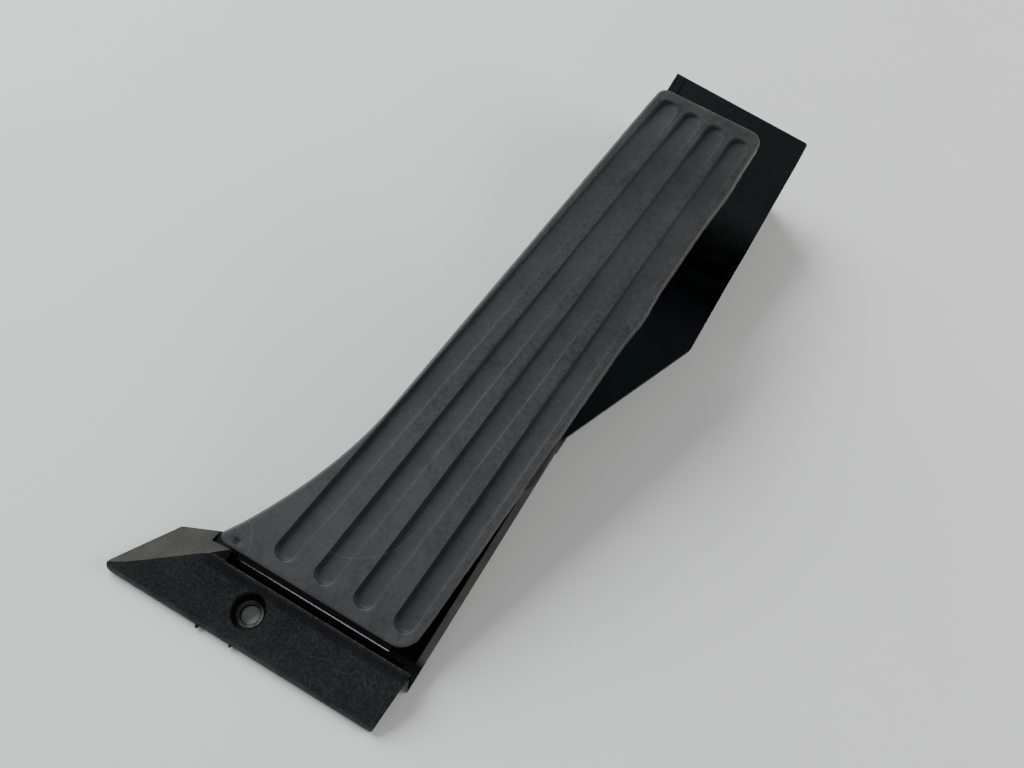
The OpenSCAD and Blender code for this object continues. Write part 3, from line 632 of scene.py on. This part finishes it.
def tread_depth(x, s):
    # how far the top lies below the tread's plane: the four grooves and the corner pit
    deep = 0.0
    for i in range(4):
        reach = min(max(s, groove_s0), groove_s1)
        across = (x - groove_x(i, reach)) / groove_wide(i) / groove_half
        off = math.hypot(across, (s - reach) / groove_half)
        if off < 1.0:
            # a steep left wall, a floor that rises gently to the right, shallower halfway up
            rise = (0.74 + 0.2 * ramp(s, 90, 40)) * max(0.0, (across + 0.7) / 1.7) ** 1.5
            deep = groove_deep * (1 - off ** 12) ** 0.6 * (1 - rise)
            deep *= 1 - 0.45 * ramp(s, 50, 50) - 0.25 * ramp(s, 110, 40) + 0.5 * ramp(s, 196, 14)
    pit = math.hypot(x - pit_x, s - pit_s)
    return deep + 0.5 * max(0.0, 1 - (pit / 1.5) ** 2)


def groove_wide(i):
    # a groove leans, so it is a little wider across a row than across itself
    return math.hypot(1.0, (groove_x(i, pad_len) - groove_x(i, 0.0)) / pad_len)


def column_places(s, left, right):
    # where the mesh's columns cross a row: they follow the grooves' walls
    walls = (0.0, 0.3, 0.55, 0.75, 0.86, 0.93, 0.97, 1.0, 1.05)
    places, last = [], left
    for i in range(4):
        middle, half = groove_x(i, s), groove_half * groove_wide(i)
        start = middle - half * walls[-1]
        gaps = 10 if i == 0 else 4
        places += [last + (start - last) * k / gaps for k in range(gaps)]
        places += [middle - half * t for t in walls[::-1]] + [middle + half * t for t in walls[1:-1]]
        last = middle + half * walls[-1]
    places += [last + (right - last) * k / 5 for k in range(6)]
    # near the round corners the row is shorter, so its last columns close up
    room = right - left
    for k in range(len(places)):
        ahead = room * 0.004 * (len(places) - 1 - k)
        places[k] = min(places[k], right - min(ahead, 3.0) * (1 if k < len(places) - 1 else 0))
    return places


def tread_mesh():
    bottom, right, top, left = edge_loop(edge_w)
    shares = [0.0]
    while shares[-1] < 1.0:
        s = shares[-1] * (s_top - 1)
        shares.append(shares[-1] + (0.35 if s < 13 or s > 206 else 1.2) / (s_top - 1))
    shares[-1] = 1.0

    def inside(u, v):
        return (bottom(u) * (1 - v) + top(u) * v + left(v) * (1 - u) + right(v) * u
                - bottom(0) * (1 - u) * (1 - v) - bottom(1) * u * (1 - v)
                - top(0) * (1 - u) * v - top(1) * u * v)

    bm = bmesh.new()
    grid, flat_rows = [], []
    for v in shares:
        a, b = left(v), right(v)
        at_a, at_b = column_places(a.y, a.x, b.x), column_places(b.y, a.x, b.x)
        row = []
        for i, (first, second) in enumerate(zip(at_a, at_b)):
            u = i / (len(at_a) - 1)
            if 0 < i < len(at_a) - 1:
                for _ in range(3):
                    p = inside(u, v)
                    target = first * (1 - u) + second * u
                    u = min(max(u + (target - p.x) / (b.x - a.x), 0.0), 1.0)
            row.append(inside(u, v))
        flat_rows.append(row)
        grid.append([bm.verts.new(on_pad(p.x, p.y, -tread_depth(p.x, p.y))) for p in row])
    for here, there in zip(grid, grid[1:]):
        for i in range(len(here) - 1):
            bm.faces.new((here[i], here[i + 1], there[i + 1], there[i]))
    rim = (grid[0][:-1] + [r[-1] for r in grid[:-1]] + grid[-1][:0:-1] + [r[0] for r in grid[:0:-1]])
    flat = (flat_rows[0][:-1] + [r[-1] for r in flat_rows[:-1]] + flat_rows[-1][:0:-1]
            + [r[0] for r in flat_rows[:0:-1]])
    count = len(flat)
    outward = []
    for k in range(count):
        way = flat[(k + 1) % count] - flat[k - 1]
        outward.append(Vector((way.y, -way.x)).normalized())
    # rings from the top's rim over the worn edge, down the skirt and up its inside
    steps = [(0.30, -0.05), (0.62, -0.20), (0.85, -0.46), (0.96, -0.86), (1.0, -edge_drop)]
    rings = [(edge_w * a, w) for a, w in steps]
    rings += [(edge_w, -skirt_h + 0.9), (edge_w, -skirt_h + 0.3), (edge_w - 0.25, -skirt_h),
              (edge_w - skirt_w, -skirt_h), (edge_w - skirt_w, -tread_t)]
    last = rim
    for out, w in rings:
        ring = []
        for k in range(count):
            p = flat[k] + outward[k] * out
            low = -3.3 if flat[k].y < 3.0 else -skirt_h
            wave = 0.16 * math.sin(p.y * 0.55) * math.sin(p.y * 0.13 + 1) if w < -1 and p.x > 20 else 0.0
            # the right skirt leans out a little towards its lower edge
            lean = 0.0
            if w < -edge_drop and out > 0 and outward[k].x > 0.8:
                lean = 0.55 * outward[k].x * min(1.0, (-w - edge_drop) / 2.5)
            down = max(w, low + (w + skirt_h) * 0.3)
            ring.append(bm.verts.new(on_pad(p.x - abs(wave) + lean, p.y, down)))
        for k in range(count):
            m = (k + 1) % count
            face = bm.faces.new((last[m], last[k], ring[k], ring[m]))
            # the edge band and the lower right skirt take the paler edge finish: wear and painted
            # highlight
            scuffed_and_highlit_skirt = w < -4.7 and out > 0 and p.x > 20 and p.y < 100
            face.material_index = 1 if -1.0 < w < -0.1 or scuffed_and_highlit_skirt else 0
        last = ring
    bm.faces.new(last)
    # the small tab that stands out of the right skirt
    tab = [(edge_right(s) + out, s) for s, out in ((64, -1), (67.5, 1.5), (71, 2.1), (79, 1.3),
                                                   (88, 0.3), (88, -1))]
    lower = [bm.verts.new(on_pad(x, s, -skirt_h)) for x, s in tab]
    upper = [bm.verts.new(on_pad(x, s, -3.4)) for x, s in tab]
    for k in range(len(tab)):
        m = (k + 1) % len(tab)
        bm.faces.new((lower[k], lower[m], upper[m], upper[k])).material_index = 1
    bm.faces.new(upper).material_index = 1
    bm.faces.new(lower[::-1])
    bmesh.ops.recalc_face_normals(bm, faces=bm.faces)
    for face in bm.faces:
        face.smooth = len(face.verts) == 4
    for edge in bm.edges:
        crisp = len(edge.link_faces) == 2 and edge.calc_face_angle(0.0) > math.radians(55)
        edge.smooth = not crisp
    mesh = bpy.data.meshes.new("tread_cover")
    bm.to_mesh(mesh)
    bm.free()
    return mesh


def scuff_arc(tree, where, shade, x, y, radius, width, strength, colour, side):
    # part of a thin ring that a shoe's heel has rubbed, broken up along its length
    away = node_in(tree, "ShaderNodeVectorMath", {1: (x, y, 0.0)}, operation="SUBTRACT")
    tree.links.new(where, away.inputs[0])
    flatten = node_in(tree, "ShaderNodeVectorMath", {1: (1.0, 1.0, 0.0)}, operation="MULTIPLY")
    tree.links.new(away.outputs[0], flatten.inputs[0])
    length = node_in(tree, "ShaderNodeVectorMath", operation="LENGTH")
    tree.links.new(flatten.outputs[0], length.inputs[0])
    off = apart(tree, length.outputs["Value"], radius)
    ring = ramped(tree, off, width * 0.4, width, 1.0, 0.0)
    toward = node_in(tree, "ShaderNodeVectorMath", {1: side}, operation="DOT_PRODUCT")
    tree.links.new(flatten.outputs[0], toward.inputs[0])
    part = ramped(tree, toward.outputs["Value"], radius * 0.55, radius * 0.85)
    rough = noise(tree, where, {"Scale": 420.0, "Detail": 3.0})
    mask = times(tree, times(tree, ring, part), ramped(tree, rough, 0.35, 0.6, 0.2, strength))
    return tinted(tree, mask, shade, colour)


def tread_marks_and_shade(tree, where, shade):
    # speckled and filmed with dust all over, paler near the heel and darker towards the top, grime
    # and painted shade in the grooves, and two arcs that a shoe's heel has rubbed
    place = parts(tree, where)
    speck = noise(tree, where, {"Scale": 1500.0, "Detail": 3.0, "Roughness": 0.7})
    spots = ramped(tree, speck, 0.35, 0.68, 0.0, 0.55)
    shade = tinted(tree, spots, shade, (0.078, 0.083, 0.088))
    flecks = noise(tree, where, {"Scale": 620.0, "Detail": 4.0, "Roughness": 0.8})
    pale = times(tree, ramped(tree, flecks, 0.47, 0.66), ramped(tree, place["Y"], 0.05, 0.16, 0.2, 0.7))
    shade = tinted(tree, pale, shade, (0.072, 0.071, 0.066))
    dark = times(tree, ramped(tree, flecks, 0.52, 0.38), ramped(tree, place["Y"], 0.05, 0.16, 0.4, 0.8))
    shade = tinted(tree, dark, shade, (0.012, 0.0135, 0.014))
    film = noise(tree, where, {"Scale": 110.0, "Detail": 9.0, "Roughness": 0.75, "Distortion": 0.6})
    dusty = times(tree, ramped(tree, film, 0.38, 0.66),
                  ramped(tree, place["Y"], 0.02, 0.21, 0.35, 0.55))
    shade = tinted(tree, dusty, shade, (0.058, 0.062, 0.066))
    shade = tinted(tree, ramped(tree, place["Y"], 0.07, 0.19, 0.0, 0.55), shade, (0.016, 0.016, 0.0155))
    shade = tinted(tree, ramped(tree, place["Y"], 0.04, 0.11, 0.36, 0.0), shade, (0.070, 0.071, 0.080))
    sooty = ramped(tree, film, 0.50, 0.34, 0.0, 0.5)
    shade = tinted(tree, sooty, shade, (0.018, 0.020, 0.022))
    # t runs along the pad, across from one wall of a groove to the other, -1 to 1
    t = times(tree, maths(tree, "SUBTRACT", place["Y"], pad_y * mm),
              1 / (math.cos(rest_tilt) * pad_len * mm))
    pitch = maths(tree, "SUBTRACT", step_low * mm, times(tree, t, (step_low - step_high) * mm))
    start = maths(tree, "ADD", times(tree, t, (first_high - first_low) * mm), first_low * mm)
    turn = maths(tree, "DIVIDE", maths(tree, "SUBTRACT", place["X"], start), pitch)
    wrapped = node_in(tree, "ShaderNodeMath", {1: 0.5, 2: -0.5}, operation="WRAP")
    tree.links.new(turn, wrapped.inputs[0])
    across = maths(tree, "DIVIDE", times(tree, wrapped.outputs[0], pitch), groove_half * mm)
    four = ramped(tree, apart(tree, turn, 1.5), 1.99, 2.0, 1.0, 0.0)
    # past counts from where a groove's round end begins, away from the groove's middle
    from_mid = apart(tree, t, (groove_s0 + groove_s1) / 2 / pad_len)
    past = maths(tree, "SUBTRACT", from_mid, (groove_s1 - groove_s0) / 2 / pad_len)
    past = maths(tree, "MAXIMUM", times(tree, past, pad_len / groove_half), 0.0)
    radial = maths(tree, "SQRT",
                   maths(tree, "ADD", times(tree, across, across), times(tree, past, past)), 0.0)
    floor = times(tree, four, ramped(tree, radial, 0.93, 1.02, 1.0, 0.0))
    ends = maths(tree, "ADD", ramped(tree, t, 0.06, 0.36, 0.95, 0.75),
                 ramped(tree, t, 0.80, 0.96, 0.0, 0.3))
    # the grooves' floors carry grime, and painted shade that darkens their left side
    grime_and_shade = times(tree, times(tree, floor, ends), ramped(tree, across, -0.9, 0.9, 0.85, 0.55))
    shade = tinted(tree, grime_and_shade, shade, (0.0130, 0.0155, 0.0168))
    # painted shadow: a dark line along the grooves' left walls; at their round ends it is grime
    ring = ramped(tree, apart(tree, radial, 0.94), 0.03, 0.12, 1.0, 0.0)
    left = times(tree, ramped(tree, across, 0.0, -0.5), ramped(tree, t, 0.40, 0.65, 0.6, 0.05))
    ending = times(tree, ramped(tree, past, 0.3, 0.9), ramped(tree, t, 0.3, 0.7, 0.75, 0.2))
    wall_shadow_and_grime = times(tree, times(tree, four, ring), maths(tree, "MAXIMUM", left, ending))
    shade = tinted(tree, wall_shadow_and_grime, shade, (0.009, 0.010, 0.011))
    lands = times(tree, maths(tree, "SUBTRACT", 1.0, floor), ramped(tree, t, 0.65, 0.95, 0.0, 0.4))
    shade = tinted(tree, times(tree, lands, ramped(tree, film, 0.40, 0.62)), shade,
                   (0.065, 0.064, 0.060))
    pit = times(tree, band(tree, where, "X", pit_x * mm, 0.7 * mm, 0.7 * mm),
                band(tree, where, "Y", pit_y * mm, 0.7 * mm, 0.7 * mm))
    shade = tinted(tree, times(tree, pit, 0.85), shade, (0.006, 0.008, 0.011))
    worn = (0.13, 0.132, 0.134)
    for x, y, radius, width, strength, side in (
            (0.012, 0.050, 0.022, 0.0004, 0.13, (0.6, -0.8, 0.0)),
            (-0.024, 0.012, 0.014, 0.0004, 0.13, (0.87, 0.5, 0.0))):
        shade = scuff_arc(tree, where, shade, x, y, radius, width, strength, worn, side)
    return shade


def edge_wear_and_highlight(tree, where, shade):
    # the edge band, worn and with a painted highlight, is paler near the heel, where the foot rests
    far = ramped(tree, parts(tree, where)["Y"], 0.10, 0.18, 0.0, 0.6)
    return tinted(tree, far, shade, (0.026, 0.0265, 0.0265))


tread_finish = moulded_plastic("tread_finish", (0.0265, 0.0275, 0.0305), 0.58, shine=0.22, grain=1500.0,
                               bump=0.16, scuffs=0.13, scuff_colour=(0.105, 0.107, 0.108), dust=0.22,
                               dust_colour=(0.085, 0.084, 0.080), dust_scale=30.0, patchy=0.12,
                               extra=tread_marks_and_shade)
tread = bpy.data.objects.new("tread_cover", tread_mesh())
bpy.context.scene.collection.objects.link(tread)
tread.data.materials.append(tread_finish)
# paler edge finish: wear and painted highlight
tread.data.materials.append(moulded_plastic("worn_edge_and_highlight", (0.052, 0.053, 0.052), 0.5, shine=0.3,
                                            grain=1500.0, bump=0.15, scuffs=0.6, dust=0.3,
                                            scuff_colour=(0.15, 0.145, 0.13), extra=edge_wear_and_highlight,
                                            dust_colour=(0.12, 0.115, 0.10), dust_scale=60.0))
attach(tread, "pedal")
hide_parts("tread_pad")

# Pedal plate
# The stiff ribbed plate under the tread, in the same black plastic as the housing, left clean.
plate_finish = moulded_plastic("plate_finish", (0.007, 0.0072, 0.0075), 0.45, scuffs=0.15, dust=0.05)
dressed("pedal_plate", "pedal", plate_finish, 0.2 * mm)

# Hinge strip
# A thin glossy strip bends from the heel's slot up into the plate. Its bend catches one thin line
# of light. It is drawn with a round bend.
strip_y, strip_z = 10.2, 9.2
strip_half, strip_w = 0.43, -4.1
strip_x = (-13.4, 46.2)
bend_from = (strip_y, strip_z - 1.9)
bend_to = (pad_y - 1 * math.cos(rest_tilt) - strip_w * math.sin(rest_tilt),
           pad_z - 1 * math.sin(rest_tilt) + strip_w * math.cos(rest_tilt))


def strip_line(count=22):
    # centre line in the side view: up the heel's slot, round the bend and along the plate
    points = [Vector((strip_y, 3.35)), Vector((strip_y, 5.5))]
    a, d = Vector(bend_from), Vector(bend_to)
    b = a + Vector((0.0, 1.5))
    c = d - Vector((math.cos(rest_tilt), math.sin(rest_tilt))) * 1.5
    for k in range(count + 1):
        t = k / count
        points.append(a * (1 - t) ** 3 + b * 3 * t * (1 - t) ** 2 + c * 3 * t * t * (1 - t) + d * t ** 3)
    for s in (3.0, 7.5):
        points.append(Vector((pad_y + s * math.cos(rest_tilt) - strip_w * math.sin(rest_tilt),
                              pad_z + s * math.sin(rest_tilt) + strip_w * math.cos(rest_tilt))))
    return points


def strip_mesh():
    line = strip_line()
    bm = bmesh.new()
    loops = []
    for k, p in enumerate(line):
        way = (line[min(k + 1, len(line) - 1)] - line[max(k - 1, 0)]).normalized()
        side = Vector((-way.y, way.x)) * strip_half
        near, far = strip_x
        corners = ((near, p + side), (far, p + side), (far, p - side), (near, p - side))
        loops.append([bm.verts.new(Vector((x, q.x, q.y)) * mm) for x, q in corners])
    for here, there in zip(loops, loops[1:]):
        for i in range(4):
            j = (i + 1) % 4
            bm.faces.new((here[i], here[j], there[j], there[i]))
    for end in (loops[0], loops[-1]):
        bm.faces.new(end)
    bmesh.ops.recalc_face_normals(bm, faces=bm.faces)
    for edge in bm.edges:
        crisp = len(edge.link_faces) == 2 and edge.calc_face_angle(0.0) > math.radians(40)
        edge.smooth = not crisp
    for face in bm.faces:
        face.smooth = True
    mesh = bpy.data.meshes.new("bent_strip")
    bm.to_mesh(mesh)
    bm.free()
    return mesh


def painted_bend_highlight(tree, where, shade):
    # a fine line along the bend is painted near white, a painted highlight
    line = times(tree, band(tree, where, "Y", 11.95 * mm, 0.07 * mm, 0.10 * mm),
                 band(tree, where, "X", 0.0175, 0.0285, 0.0010))
    line = times(tree, line, ramped(tree, parts(tree, where)["X"], -0.006, 0.014, 0.35, 1.0))
    return tinted(tree, line, shade, (0.68, 0.71, 0.72))


strip_finish = moulded_plastic("strip_finish", (0.004, 0.004, 0.0042), 0.25, shine=0.25, grain=300.0,
                               bump=0.01, scuffs=0.0, dust=0.0, extra=painted_bend_highlight)
strip = bpy.data.objects.new("bent_strip", strip_mesh())
bpy.context.scene.collection.objects.link(strip)
strip.data.materials.append(strip_finish)
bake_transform(strip)
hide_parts("hinge_strip")

# Lever and roller
# The lever is a natural grey-black glass-filled moulding. Its roller runs on a low-friction track.
dressed("drive_lever", "lever", plate_finish, 0.25 * mm)
finish_node("slide_track", moulded_plastic("track_finish", (0.42, 0.40, 0.34), 0.4, shine=0.5,
                                           scuffs=0.5, scuff_colour=(0.2, 0.19, 0.17), dust=0.1))
finish_node("tip_roller", moulded_plastic("roller_finish", (0.50, 0.49, 0.45), 0.35, shine=0.5,
                                          scuffs=0.3, scuff_colour=(0.25, 0.24, 0.22), dust=0.05))
ground_steel = bare_metal("ground_steel", (0.58, 0.58, 0.59), 0.22, brushed=0.05)
finish_node("roller_pin", ground_steel)
finish_node("lever_shaft", ground_steel)
finish_node("shaft_bushes", bare_metal("sintered_bronze", (0.45, 0.30, 0.16), 0.45))

# Springs and friction shoe
# Two nested steel springs push the lever up. Their lower ends stand on the box's floor and their
# upper ends on its spring seat.
spring_steel = bare_metal("spring_steel", (0.36, 0.36, 0.37), 0.3, brushed=0.05, stain=0.2)


def spring(name):
    mesh = nodes[name].data.copy()
    piece = bpy.data.objects.new(name + "_wire", mesh)
    bpy.context.scene.collection.objects.link(piece)
    for face in mesh.polygons:
        face.use_smooth = True
    mesh.materials.clear()
    mesh.materials.append(spring_steel)
    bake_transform(piece)
    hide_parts(name)


spring("outer_spring")
spring("inner_spring")
rubber = moulded_plastic("rubber", (0.010, 0.010, 0.010), 0.75, shine=0.25, scuffs=0.1, dust=0.1)
finish_node("friction_shoe", moulded_plastic("shoe_finish", (0.30, 0.24, 0.13), 0.5, scuffs=0.2))
finish_node("rest_buffer", rubber)
finish_node("stop_buffer", rubber)

# Sensor
# A magnet on the shaft's end turns in front of a small board. Its pins end in the socket.
finish_node("magnet_holder", moulded_plastic("holder_finish", (0.55, 0.54, 0.50), 0.4, shine=0.5))
finish_node("sensor_magnet", bare_metal("nickel_magnet", (0.48, 0.47, 0.44), 0.25, brushed=0.03))
finish_node("sensor_board", moulded_plastic("board_finish", (0.012, 0.085, 0.030), 0.35, shine=0.5,
                                            bump=0.02, scuffs=0.1, dust=0.05))
finish_node("sensor_chips", moulded_plastic("chip_finish", (0.012, 0.012, 0.013), 0.5, scuffs=0.05))
dressed("connector_socket", "housing", plate_finish, 0.2 * mm)
finish_node("terminals", bare_metal("tinned_pins", (0.60, 0.58, 0.52), 0.28, brushed=0.03, stain=0.1))
